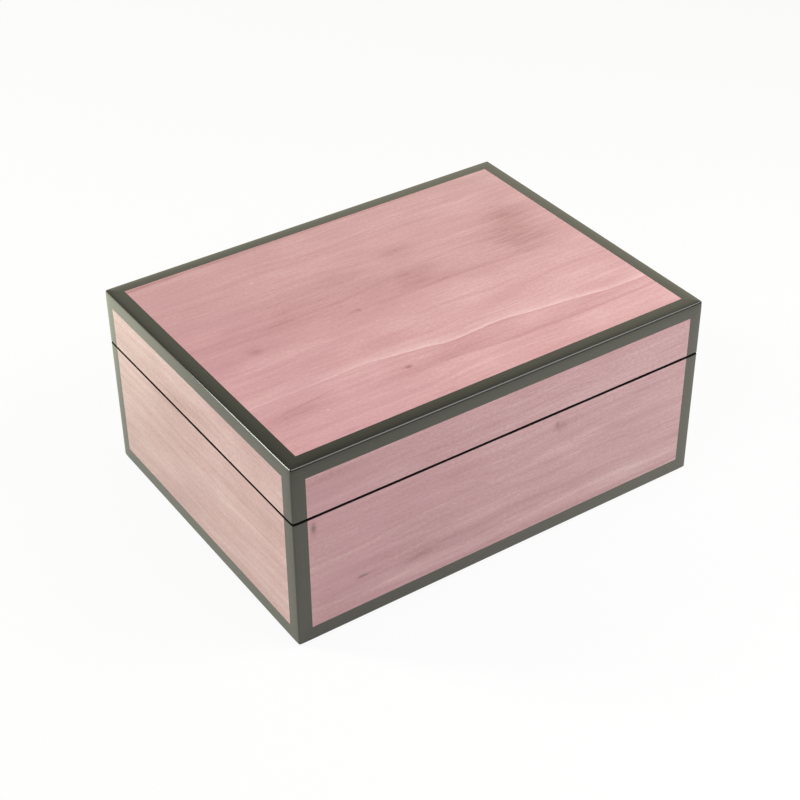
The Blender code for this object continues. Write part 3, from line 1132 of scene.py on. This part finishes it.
    def _rim_profile(self) -> tuple[np.ndarray, np.ndarray]:
        """The rise from the rim and the inset of each level up a side, round the eased rim.

        Returns:
            The rises and the insets.
        """
        turn = quarter(self.ease_steps)
        rise = np.concatenate([self.rim_ease * (1 - np.cos(turn)), [self.rim_ease + SUPPORT]])
        inset = np.concatenate([self.rim_ease * (1 - np.sin(turn)), [0]])
        return rise, inset

    def _post(self, wall: Wall, levels: HalfLevels) -> np.ndarray:
        """The sections of the corner post at a side's left end, from the rim to the edging strip.

        Args:
            wall: the side's axes.
            levels: the half's heights.

        Returns:
            The sections, (section, point, 3).
        """
        radius, width = self.edge_radius, self.edging_width
        rise, ease = self._rim_profile()
        rise = np.append(rise, levels.height - width)
        ease = np.append(ease, 0)[:, None]
        turn = quarter(self.round_steps)
        flat = np.linspace(radius + SUPPORT, width, self.wear_lines) + 0 * ease
        round_room = radius - ease - self._wear(np.array(radius))
        face = ease + self._wear(flat)
        back = np.full_like(ease, width)
        along = np.hstack([flat[:, ::-1], radius - round_room * np.sin(turn), face, back])
        inward = np.hstack([face[:, ::-1], radius - round_room * np.cos(turn), flat, back])
        return wall.point(along - wall.half_span, inward, (levels.rim + levels.way * rise)[:, None])

    def _build_veneers(self, seam: Ruler) -> None:
        """Builds the sheets: one for the top, and one for each side, sawn through with the box.

        Args:
            seam: how far above the seam's middle a point is.
        """
        middle, deep = self.half_width / MM, self.half_depth / MM
        top = self.levels[Half.LID].face / MM
        down = Ruler(2, -1, top)
        rulers = {
            "front": (Ruler(0, 1, middle), down, seam),
            "right": (Ruler(1, 1, deep), down, seam),
            "back": (Ruler(0, -1, middle), down, seam),
            "left": (Ruler(1, -1, deep), down, seam),
            "top": (Ruler(0, 1, middle), Ruler(1, -1, deep), None),
        }
        materials = {name: self.sheets[name].build(f"veneer_{name}", *rulers[name]) for name in rulers}
        for half, levels in self.levels.items():
            for side in Side:
                node = f"{half.value}_veneer_{side.value}"
                sheet = self._side_sheet(node, side, levels, half)
                dress(sheet, node, materials[side.value])
        node = "lid_veneer_top"
        dress(self._top_sheet(node), node, materials["top"])

    def _side_sheet(self, node: str, side: Side, levels: HalfLevels, half: Half) -> bpy.types.Object:
        """One side's sheet, with its rim eased and, at the back, notches for the hinges.

        Args:
            node: the CAD node that it stands for.
            side: the side.
            levels: the half's heights.
            half: the half.

        Returns:
            The piece.
        """
        wall = self.wall(side)
        depth = wall.reach - max(wall.outward(corner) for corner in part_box(f"{half.value}_wall_{side.value}"))
        end = wall.half_span - self.edging_width
        notches: list[Span] = []
        notch_rise = 0.0
        if side is Side.BACK:
            for label in ("left", "right"):
                low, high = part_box(f"hinge_{label}_{half.value}_leaf")
                notches.append((-high.x - self.mortise_clearance, -low.x + self.mortise_clearance))
                far = high.z if levels.way > 0 else low.z
                notch_rise = abs(far - levels.rim) + self.mortise_clearance
        columns = np.unique([-end, end, *(edge for notch in notches for edge in notch)])
        rise, ease = self._rim_profile()
        rise = np.concatenate([rise, [notch_rise] if notches else [], [levels.height - self.edging_width]])
        ease = np.pad(ease, (0, len(rise) - len(ease)))
        middles = (columns[1:] + columns[:-1]) / 2
        inside = np.zeros(len(middles), bool)
        for low, high in notches:
            inside |= (middles > low) & (middles < high)
        kept = ~(inside[:, None] & (rise[None, 1:] <= notch_rise))
        up = levels.rim + levels.way * rise
        outer = wall.point(columns[:, None], ease[None, :], up[None, :])
        inner = wall.point(columns[:, None], np.full((1, len(rise)), depth), up[None, :])
        return slab(f"{node}_lacquered", outer, inner, kept)

    def _top_sheet(self, node: str) -> bpy.types.Object:
        """The lid's top sheet, flush with the strips round it, down to the board beneath.

        Args:
            node: the CAD node that it stands for.

        Returns:
            The piece.
        """
        x, y = self.half_width - self.edging_width, self.half_depth - self.edging_width
        corners = np.stack(np.meshgrid([-x, x], [-y, y], indexing="ij"), -1)
        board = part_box("lid_top_board")[1].z
        outer = np.dstack([corners, np.full((2, 2), self.levels[Half.LID].face)])
        inner = np.dstack([corners, np.full((2, 2), board)])
        return slab(f"{node}_lacquered", outer, inner, np.ones((1, 1), bool))


# The boards behind the veneer


@dataclass
class Boards:
    """The core boards, which show only at the rims and round the hinges."""

    finish: CoreFinish = CoreFinish()

    def build(self) -> None:
        """Repaints every wall and flat board."""
        material = self.finish.build("sealed_core")
        for node in frame["nodes"]:
            if "_wall_" in node or node.endswith("_board"):
                repaint(node, material)


# The lining


@dataclass
class Linings:
    """Velvet-covered panels on the walls, and padded ones on the floor and under the lid.

    Attributes:
        crown: how far a wall panel swells in its middle.
        pad_crown: how far the floor and ceiling pads swell.
        reach: how far a panel grows past its solid, to meet its neighbours.
        edge_steps: the facets round a panel's edge.
        spacing: the grid's spacing.
        velvet: the finish.
    """

    crown: float = 0.3 * MM
    pad_crown: float = 0.8 * MM
    reach: float = 0.1 * MM
    edge_steps: int = 6
    spacing: float = 3.0 * MM
    velvet: PileFinish = PileFinish(
        dark=(0.010, 0.0095, 0.0105),
        light=(0.050, 0.047, 0.050),
        sheen=0.35,
        tuft=0.35,
        depth=0.00012,
        nap=26.0,
    )

    def build(self) -> None:
        """Builds and dresses every panel."""
        material = self.velvet.build("charcoal_velvet")
        for node in sorted(frame["nodes"]):
            if "_lining_" not in node and not node.endswith("_pad"):
                continue
            low, high = (np.array(corner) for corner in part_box(node))
            panel = self._panel(node, low, high)
            dress(panel, node, material)

    def _panel(self, node: str, low: np.ndarray, high: np.ndarray) -> bpy.types.Object:
        """One cushioned panel in the box of its solid.

        Its two sheets meet half way through its thickness. At a distance d from an edge a sheet
        stands sin(arccos(1 - d / r)) of the half thickness off the middle, r being the half
        thickness, so the edge is round, and the sheet that shows swells on top of that by
        (1 - u squared)(1 - v squared) of the crown.

        Args:
            node: the CAD node.
            low: the lowest corner of its box.
            high: the highest corner.

        Returns:
            The piece.
        """
        thin = int(np.argmin(high - low))
        u_axis, v_axis = [axis for axis in range(3) if axis != thin]
        half = (high[thin] - low[thin]) / 2
        crown = self.pad_crown if node.endswith("_pad") else self.crown
        grow = 0 if thin == 2 else self.reach
        u, u_edge = self._lines(low[u_axis] - grow, high[u_axis] + grow, half)
        v, v_edge = self._lines(low[v_axis], high[v_axis], half)
        rise = u_edge[:, None] * v_edge[None, :]
        u_share = 2 * (u - u[0]) / (u[-1] - u[0]) - 1
        v_share = 2 * (v - v[0]) / (v[-1] - v[0]) - 1
        swell = crown * (1 - u_share[:, None] ** 2) * (1 - v_share[None, :] ** 2)
        middle = (low[thin] + high[thin]) / 2
        shows = -1 if middle > 0 and thin != 2 else 1
        if thin == 2:
            shows = 1 if node.startswith("base") else -1
        sheets = []
        for way in (shows, -shows):
            points = np.zeros((len(u), len(v), 3))
            points[..., u_axis] = u[:, None]
            points[..., v_axis] = v[None, :]
            height = rise * (half - crown) + swell * rise if way == shows else rise * half
            points[..., thin] = middle + way * height
            sheets.append(points)
        return slab(f"{node}_velvet", sheets[0], sheets[1], np.ones((len(u) - 1, len(v) - 1), bool))

    def _lines(self, low: float, high: float, radius: float) -> tuple[np.ndarray, np.ndarray]:
        """Grid lines across a panel, close together round its edges, and how full it is at each.

        Args:
            low: where the panel starts.
            high: where it ends.
            radius: how far in from an edge it reaches its full thickness.

        Returns:
            The lines, and the share of the half thickness at each.
        """
        turn = quarter(self.edge_steps)
        edge = radius * (1 - np.cos(turn))
        count = max(2, round((high - low - 2 * radius) / self.spacing))
        inner = np.linspace(low + radius, high - radius, count + 1)[1:-1]
        lines = np.concatenate([low + edge, inner, (high - edge)[::-1]])
        full = np.concatenate([np.sin(turn), np.ones_like(inner), np.sin(turn)[::-1]])
        return lines, full


# Brass


@dataclass
class Hinges:
    """Two stop hinges and their screws: the CAD solids with every edge broken.

    Attributes:
        edge_break: the width of the broken edges.
        finish: the brass.
    """

    edge_break: float = 0.12 * MM
    finish: BrassFinish = BrassFinish()

    def build(self) -> None:
        """Builds and dresses every leaf, pin and screw."""
        material = self.finish.build("polished_brass")
        for node in sorted(frame["nodes"]):
            if node.startswith("hinge_"):
                dress(self._broken(node), node, material)

    def _broken(self, node: str) -> bpy.types.Object:
        """A copy of a solid, merged, with its flat faces made whole and its corners broken.

        Args:
            node: the CAD node.

        Returns:
            The piece.
        """
        mesh = frame["nodes"][node].data.copy()
        edited = bmesh.new()
        edited.from_mesh(mesh)
        bmesh.ops.remove_doubles(edited, verts=edited.verts, dist=MERGE_DISTANCE)
        bmesh.ops.dissolve_limit(edited, angle_limit=FLAT_ANGLE, verts=edited.verts, edges=edited.edges)
        edited.to_mesh(mesh)
        edited.free()
        piece = put(f"{node}_polished", mesh)
        mesh.shade_smooth()
        bevel = piece.modifiers.new("broken_edges", "BEVEL")
        bevel.width = self.edge_break
        bevel.segments = 2
        bevel.limit_method = "ANGLE"
        bevel.angle_limit = SHARP_ANGLE
        bevel.harden_normals = True
        return piece


# The underside


@dataclass
class Underside:
    """The felt sheet that the box stands on.

    Attributes:
        corner: the radius of its corners.
        soft_edge: how far its edge rounds over.
        steps: the facets in a quarter turn.
        felt: the finish.
    """

    corner: float = 3.0 * MM
    soft_edge: float = 0.4 * MM
    steps: int = 8
    felt: PileFinish = PileFinish(
        dark=(0.012, 0.012, 0.013),
        light=(0.045, 0.045, 0.048),
        sheen=0.15,
        tuft=0.5,
        depth=0.00015,
        nap=14.0,
    )

    def build(self) -> None:
        """Builds and dresses the felt."""
        node = "underside_felt"
        low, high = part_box(node)
        turn = quarter(self.steps)
        inset = self.soft_edge * (1 - np.sin(np.concatenate([turn, turn[::-1]])))
        rise = self.soft_edge * (1 - np.cos(turn))
        height = np.concatenate([low.z + rise, high.z - rise[::-1]])
        rings = [self._outline(high.x, high.y, d) for d in inset]
        points = np.dstack([np.array(rings), np.repeat(height[:, None], len(rings[0]), 1)])
        sheet = swept(f"{node}_sheet", points)
        dress(sheet, node, self.felt.build("black_felt"))

    def _outline(self, x: float, y: float, inset: float) -> np.ndarray:
        """A rectangle with round corners: each corner is an arc about a centre one radius in.

        Args:
            x: half its width.
            y: half its depth.
            inset: how far inside that rectangle it runs.

        Returns:
            Its points, (point, 2).
        """
        angle = np.concatenate([quarter(self.steps) + i * math.pi / 2 for i in range(4)])
        centre_x = np.sign(np.cos(angle + TURN_NUDGE)) * (x - self.corner)
        centre_y = np.sign(np.sin(angle + TURN_NUDGE)) * (y - self.corner)
        radius = self.corner - inset
        return np.stack([centre_x + radius * np.cos(angle), centre_y + radius * np.sin(angle)], -1)


# The studio


@dataclass
class Softbox:
    """A soft oval area lamp aimed at the box.

    Attributes:
        name: its name.
        azimuth: its bearing, in degrees from the front towards the right.
        elevation: its height above the horizon, in degrees.
        distance: how far away it is.
        width: its width.
        height: its height.
        radiance: how bright its surface is. 1 shows as white.
        colour: its colour.
    """

    name: str
    azimuth: float
    elevation: float
    distance: float
    width: float
    height: float
    radiance: float
    colour: Rgb

    def build(self, target: Vector) -> None:
        """Hangs the lamp. Its power is its radiance times its area, a quarter pi of its oblong, times pi.

        Args:
            target: what it points at.
        """
        lamp = bpy.data.lights.new(self.name, "AREA")
        lamp.shape = "ELLIPSE"
        lamp.size = self.width
        lamp.size_y = self.height
        lamp.color = self.colour
        lamp.energy = self.radiance * self.width * self.height * math.pi**2 / 4
        bearing, rise = math.radians(self.azimuth), math.radians(self.elevation)
        way = Vector(
            (math.sin(bearing) * math.cos(rise), -math.cos(bearing) * math.cos(rise), math.sin(rise))
        )
        hung = put(self.name, lamp)
        hung.location = target + way * self.distance
        hung.rotation_euler = way.to_track_quat("Z", "Y").to_euler()
        hung.visible_camera = False


@dataclass
class Studio:
    """A white floor, soft light and the photograph's camera.

    Attributes:
        camera_place: the camera's place.
        camera_azimuth: its heading, in degrees from +Y towards +X.
        camera_elevation: its pitch, in degrees above the horizon.
        camera_roll: its roll, in degrees.
        lens: its focal length, in millimetres on a 36 mm sensor.
        room: the dim room's light.
        backdrop: the light of the white backdrop behind the box.
        backdrop_top: the heights, as sines, over which the backdrop gives way to the room.
        backdrop_turn: how far ahead a direction is, as a cosine, where the backdrop starts and is full.
        backdrop_slope: how much higher it reaches to the right.
        floor_white: the floor's colour.
        floor_half: half its width.
        floor_share: how much of what the camera sees of the floor is plain white.
        floor_gloss: how much of what the gloss shows of the floor is the painted reflection below, and not the
            lit floor. It grows to 1 where the white floor ends.
        floor_mirrored: a painted reflection that glows only in the gloss, standing for the floor as the lamps
            light it, at the left.
        floor_right: the same at the right, brighter.
        floor_across: where along X the one gives way to the other.
        floor_glow: the brighter painted reflection that it grows into towards the back.
        floor_glow_span: where along Y it does.
        floor_front: where along Y the floor that the gloss shows gives way to the room at the front.
        softboxes: the lamps.
    """

    camera_place: tuple[float, float, float] = (-0.34717, -0.51492, 0.48289)
    camera_azimuth: float = 33.89
    camera_elevation: float = -35.852
    camera_roll: float = 0.51
    lens: float = 78.083
    room: Rgb = (0.08, 0.08, 0.08)
    backdrop: Rgb = (1.30, 1.256, 0.985)
    backdrop_top: Span = (0.351, 0.652)
    backdrop_turn: Span = (-0.3, 0.3)
    backdrop_slope: float = 0.138
    floor_white: float = 0.9
    floor_half: float = 4.0
    floor_share: float = 0.9
    floor_gloss: float = 0.5
    floor_mirrored: Rgb = (1.22, 1.22, 1.02)
    floor_right: Rgb = (2.05, 2.05, 1.72)
    floor_across: Span = (-0.12, 0.16)
    floor_glow: Rgb = (2.9, 3.0, 2.2)
    floor_glow_span: Span = (0.07, 0.24)
    floor_front: Span = (-0.32, -0.08)
    # Each lamp: name, azimuth, elevation, distance, width, height, radiance and colour.
    softboxes: tuple[Softbox, ...] = (
        Softbox("softbox_back_left", -131.5, 29.6, 1.4, 0.36, 0.88, 16.0, (0.96, 1.0, 0.93)),
        Softbox("softbox_left", -70.0, 45.0, 1.0, 0.7, 0.7, 1.75, (1.0, 1.0, 0.97)),
        Softbox("softbox_front_right", 38.0, 46.0, 0.53, 0.565, 0.4, 3.75, (1.0, 0.985, 1.02)),
    )

    def build(self) -> None:
        """Sets up camera, lamps, world and floor."""
        self._set_camera()
        target = Vector((0, 0, CAD_BOUNDS[1][2] / 2))
        for softbox in self.softboxes:
            softbox.build(target)
        self._set_world()
        self._lay_floor()
        bpy.context.scene.view_settings.view_transform = "Standard"

    def _set_camera(self) -> None:
        """Stands the camera where the photograph was taken from."""
        camera = bpy.data.cameras.new("camera")
        camera.sensor_width = 36.0
        camera.lens = self.lens
        camera.clip_start = 0.01
        camera.clip_end = 50.0
        held = put("camera", camera)
        turn = Matrix.Rotation(-math.radians(self.camera_azimuth), 4, "Z")
        pitch = Matrix.Rotation(math.pi / 2 + math.radians(self.camera_elevation), 4, "X")
        roll = Matrix.Rotation(-math.radians(self.camera_roll), 4, "Z")
        held.matrix_world = Matrix.Translation(self.camera_place) @ turn @ pitch @ roll
        bpy.context.scene.camera = held

    def _set_world(self) -> None:
        """White to the camera, and otherwise a dim room with a white backdrop low behind the box."""
        world = bpy.data.worlds.new("studio")
        bpy.context.scene.world = world
        shader = Shader(world)
        sight = shader.node("ShaderNodeLightPath", output="Is Camera Ray")
        way = shader.node("ShaderNodeTexCoord", output="Generated")
        heading = math.radians(self.camera_azimuth)
        ahead = (math.sin(heading), math.cos(heading), 0.0)
        slope = (-self.backdrop_slope, 0.0, 1.0)
        behind, height = (
            shader.node("ShaderNodeVectorMath", {"operation": "DOT_PRODUCT"}, {0: way, 1: axis}, "Value")
            for axis in (ahead, slope)
        )
        share = (1 - height.step(*self.backdrop_top)) * behind.step(*self.backdrop_turn)
        light = shader.mix(share, self.room, self.backdrop)
        colour = shader.mix(sight, light, (1.0, 1.0, 1.0))
        glow = shader.node("ShaderNodeBackground", values={"Color": colour, "Strength": 1.0})
        shader.node("ShaderNodeOutputWorld", values={"Surface": glow})

    def _lay_floor(self) -> None:
        """A white floor: what the camera sees is mostly plain white, and keeps a soft shadow. What the gloss
        sees is partly a painted reflection that glows, brighter to the right and towards the back.
        """
        ends = [-self.floor_half, self.floor_half]
        corners = np.stack(np.meshgrid(ends, ends), -1).reshape(-1, 2)
        mesh = bpy.data.meshes.new("floor")
        mesh.from_pydata([(x, y, 0.0) for x, y in corners.tolist()], [], [[0, 1, 3, 2]])
        floor = put("floor", mesh)
        material = bpy.data.materials.new("floor_white")
        mesh.materials.append(material)
        shader = Shader(material)
        sight, mirrored, through = (
            shader.node("ShaderNodeLightPath", output=f"Is {kind} Ray")
            for kind in ("Camera", "Glossy", "Transmission")
        )
        lit = shader.node("ShaderNodeBsdfDiffuse", values={"Color": (self.floor_white,) * 3})
        across, along = shader.place()[:2]
        # Painted reflection, seen only in the gloss: the floor glows brighter to the right and towards the
        # back, as the lamps would light it. At the front it gives way to the dim room.
        glow = along.step(*(bound / MM for bound in self.floor_glow_span))
        present = along.step(*(bound / MM for bound in self.floor_front))
        turned = across.step(*(bound / MM for bound in self.floor_across))
        shown = shader.mix(glow, shader.mix(turned, self.floor_mirrored, self.floor_right), self.floor_glow)
        white = shader.mix(mirrored, (1.0, 1.0, 1.0), shader.mix(present, self.room, shown))
        plain = shader.node("ShaderNodeEmission", values={"Color": white, "Strength": 1.0})
        gloss = 1 - present * (1 - self.floor_gloss)
        seen = (sight * self.floor_share).at_least(mirrored.at_least(through) * gloss)
        surface = shader.node("ShaderNodeMixShader", values={0: seen, 1: lit, 2: plain})
        shader.node("ShaderNodeOutputMaterial", values={"Surface": surface})


# The veneer sheets, as the photograph shows them. The right and back sheets are guesses.
SHEETS = {
    "top": VeneerFinish(
        seed=11.0,
        marks=(
            Mark(178, 47, 13, 9, 0.36), Mark(171, 66.5, 15, 8.5, 0.38), Mark(168, 57, 12, 3, 0.14),
            Mark(55, 66, 78, 16, 0.20), Mark(118, 46, 8, 6, 0.17), Mark(114, 67, 10, 8, 0.18),
            Mark(135, 77, 26, 5, 0.13), Mark(29, 77.5, 3.2, 2.8, 0.40), Mark(29, 78.5, 8, 1.2, 0.10),
            Mark(80.3, 75.5, 0.9, 0.8, 0.40), Mark(77.5, 75.6, 1.5, 0.5, 0.20),
            Mark(74, 121.8, 1.4, 0.9, 0.75), Mark(72, 121.6, 1.6, 0.4, 0.30), Mark(20, 122.5, 16, 2.8, 0.24),
            Mark(25, 8.0, 40, 1.0, 0.35), Mark(95, 7.2, 50, 0.6, 0.30), Mark(33, 143.8, 6, 0.8, 0.25),
            Mark(77, 143.8, 7, 0.7, 0.22), Mark(97, 144.2, 8, 0.5, 0.22), Mark(54, 31.8, 0.8, 0.7, -0.40),
            Mark(32, 128, 0.7, 0.5, -0.40), Mark(172, 89.6, 15, 1.2, -0.07), Mark(40, 89, 20, 4, -0.05),
            Mark(80, 99, 12, 6, 0.10), Mark(115, 123, 25, 4, 0.10), Mark(100, 18, 90, 8, -0.07),
            # The first mark on the next line is painted shade: it darkens the back of the sheet, where less
            # light falls.
            Mark(100, 15, 170, 55, 0.06), Mark(100, 125, 170, 45, -0.07),
        ),
        lines=(
            FigureLine(
                (
                    (0, 111.5, 0.8), (20, 111, 0.8), (40, 111, 0.65), (58, 110.2, 0.65), (70, 111.5, 0.75),
                    (80, 113, 0.9), (90, 114.6, 1.1), (100, 116.4, 1.5), (112, 116, 1.5), (122, 115.5, 1.4),
                    (135, 117, 1.3), (150, 118.8, 1.2), (160, 120, 1.2), (170, 121.4, 1.4),
                    (180, 122.6, 1.5), (203, 122.6, 1.5),
                ),
                above=0.38, rise=1.8, below=-0.11, fall=2.0, edge=0.35,
            ),
            FigureLine(
                ((45, 126, 0), (70, 126.6, 0.7), (92, 127, 1), (112, 129, 1), (130, 130, 1), (203, 130, 0.9)),
                above=-0.26, rise=3.2, below=0.02, fall=3.0, edge=0.7,
            ),
            FigureLine(
                ((92, 91, 0), (104, 91.2, 0.4), (125, 90.4, 0.7), (140, 90.6, 1), (148, 91.4, 0.9),
                 (154, 91.6, 0)),
                above=0.18, rise=0.8, edge=0.3,
            ),
            FigureLine(
                ((16, 120.6, 0), (20, 120.4, 0.9), (30, 119.4, 1), (38, 118.2, 0.9), (43, 117.8, 0)),
                above=-0.32, rise=0.4, below=-0.32, fall=0.4, edge=0.15,
            ),
        ),
        mauve_share=0.4,
        clouding=0.44,
        banding=0.33,
        grain=0.36,
    ),
    "front": VeneerFinish(
        seed=23.0,
        middle=(0.538, 0.301, 0.322),
        deep=(0.378, 0.174, 0.188),
        pale=(0.708, 0.482, 0.490),
        clouding=0.44,
        banding=0.39,
        grain=0.46,
        marks=(
            Mark(9, 31.5, 1.3, 3.2, 1.0), Mark(129, 34.4, 3.2, 2.6, 0.28), Mark(127, 32.6, 1.0, 1.5, 0.5),
            Mark(30.5, 66.5, 2.6, 0.6, 1.0), Mark(36, 66.6, 4, 0.5, 0.17), Mark(78, 37, 12, 4.5, 0.16),
            Mark(58, 69.5, 8, 2.4, 0.22), Mark(15, 71, 14, 1.7, 0.17), Mark(20, 10, 12, 3, 0.09),
            Mark(16, 21.5, 12, 1.6, -0.12), Mark(28, 19, 8, 2, -0.07), Mark(155, 74, 65, 3.4, -0.14),
            Mark(60, 75.5, 40, 2.6, -0.19), Mark(46, 75.2, 12, 0.6, -0.34), Mark(102, 71.2, 7, 0.5, -0.17),
            Mark(123, 70.8, 4, 0.4, -0.23), Mark(150, 79.8, 60, 1.3, 0.08), Mark(38, 61, 18, 4.5, 0.14),
        ),
        lines=(
            FigureLine(
                ((0, 50.6, 1), (30, 50.4, 1), (45, 48.6, 1), (60, 47.6, 0.8), (80, 47.1, 0.7),
                 (110, 46.8, 0.7),
                 (125, 45, 1), (148, 46, 0.8), (158, 46.4, 0)),
                above=-0.06, rise=1.2, below=0.14, fall=1.8, edge=0.4,
            ),
            FigureLine(
                ((12, 58, 0), (20, 57, 0.8), (33, 55.6, 1), (55, 55.5, 0.8), (70, 54, 1), (100, 54, 0.8),
                 (112, 56, 1), (130, 56.2, 1), (145, 53.4, 1), (170, 54, 0.7), (203, 55, 0.7)),
                above=-0.10, rise=0.7, below=-0.12, fall=1.2, edge=0.3,
            ),
            FigureLine(
                ((44, 72, 0), (54, 69.6, 0.8), (62, 67.4, 1), (80, 66, 1), (90, 65.5, 1), (105, 64.4, 1),
                 (120, 65.4, 1),
                 (135, 66.4, 1), (155, 65.6, 0.9), (175, 67, 0.9), (203, 66.4, 0.8)),
                above=-0.15, rise=1.0, below=-0.22, fall=1.8, edge=0.3,
            ),
        ),
        mauve_reach=140.0,
        mauve_share=0.55,
    ),
    "left": VeneerFinish(
        seed=37.0,
        middle=(0.555, 0.333, 0.325),
        deep=(0.39, 0.195, 0.19),
        pale=(0.72, 0.51, 0.49),
        marks=(
            # The last mark on the next line darkens the foot of the sheet: partly the wood, partly painted
            # shade where less light falls.
            Mark(62, 22.5, 13, 2.8, 0.17), Mark(85, 61, 14, 8, 0.07), Mark(45, 80, 45, 4, 0.12),
            Mark(20, 13, 15, 4, -0.04), Mark(95, 30, 40, 2.5, 0.08), Mark(90, 45, 110, 50, -0.05),
        ),
        lines=(
            FigureLine(
                ((14, 35.5, 0), (22, 36, 0.6), (30, 37, 0.9), (40, 39, 0.7), (50, 40.4, 0.6), (60, 41.6, 0.7),
                 (70, 43, 0.9), (80, 45, 1), (90, 46.7, 1), (100, 47.8, 0.9), (120, 48, 0.7),
                  (132, 48.4, 0.6),
                 (152, 50.4, 0.8)),
                above=-0.09, rise=0.9, below=0.12, fall=1.3, edge=0.3,
            ),
        ),
        mauve_share=0.0,
        clouding=0.58,
        banding=0.45,
        grain=0.54,
        seal_reach=0.47,
    ),
    "right": VeneerFinish(
        seed=53.0,
        marks=(Mark(60, 40, 30, 6, 0.10), Mark(110, 62, 1.8, 0.8, 0.4), Mark(30, 14, 20, 3, 0.08)),
        lines=(
            FigureLine(
                ((0, 58, 0.8), (30, 57, 1), (60, 55, 1), (85, 57, 0.9), (110, 60, 1), (153, 61, 0.8)),
                above=0.20, rise=1.8, below=-0.10, fall=1.8,
            ),
        ),
        mauve_share=0.3,
    ),
    "back": VeneerFinish(
        seed=71.0,
        marks=(Mark(50, 44, 24, 7, 0.12), Mark(140, 60, 34, 5, 0.10), Mark(96, 50, 1.6, 0.8, 0.4)),
        lines=(
            FigureLine(
                ((0, 66, 0.9), (30, 65, 1), (60, 66, 0.9), (95, 62, 1), (120, 61, 1), (160, 63, 0.8),
                 (203, 63, 0.9)),
                above=0.22, rise=2.0, below=-0.10, fall=2.0,
            ),
        ),
        mauve_share=0.35,
    ),
}


def main() -> None:
    """Builds the dressed box and the studio."""
    logging.basicConfig(level=logging.INFO, format="%(message)s")
    Case(sheets=SHEETS).build()
    Boards().build()
    Linings().build()
    Hinges().build()
    Underside().build()
    Studio().build()


if __name__ == "__main__":
    main()
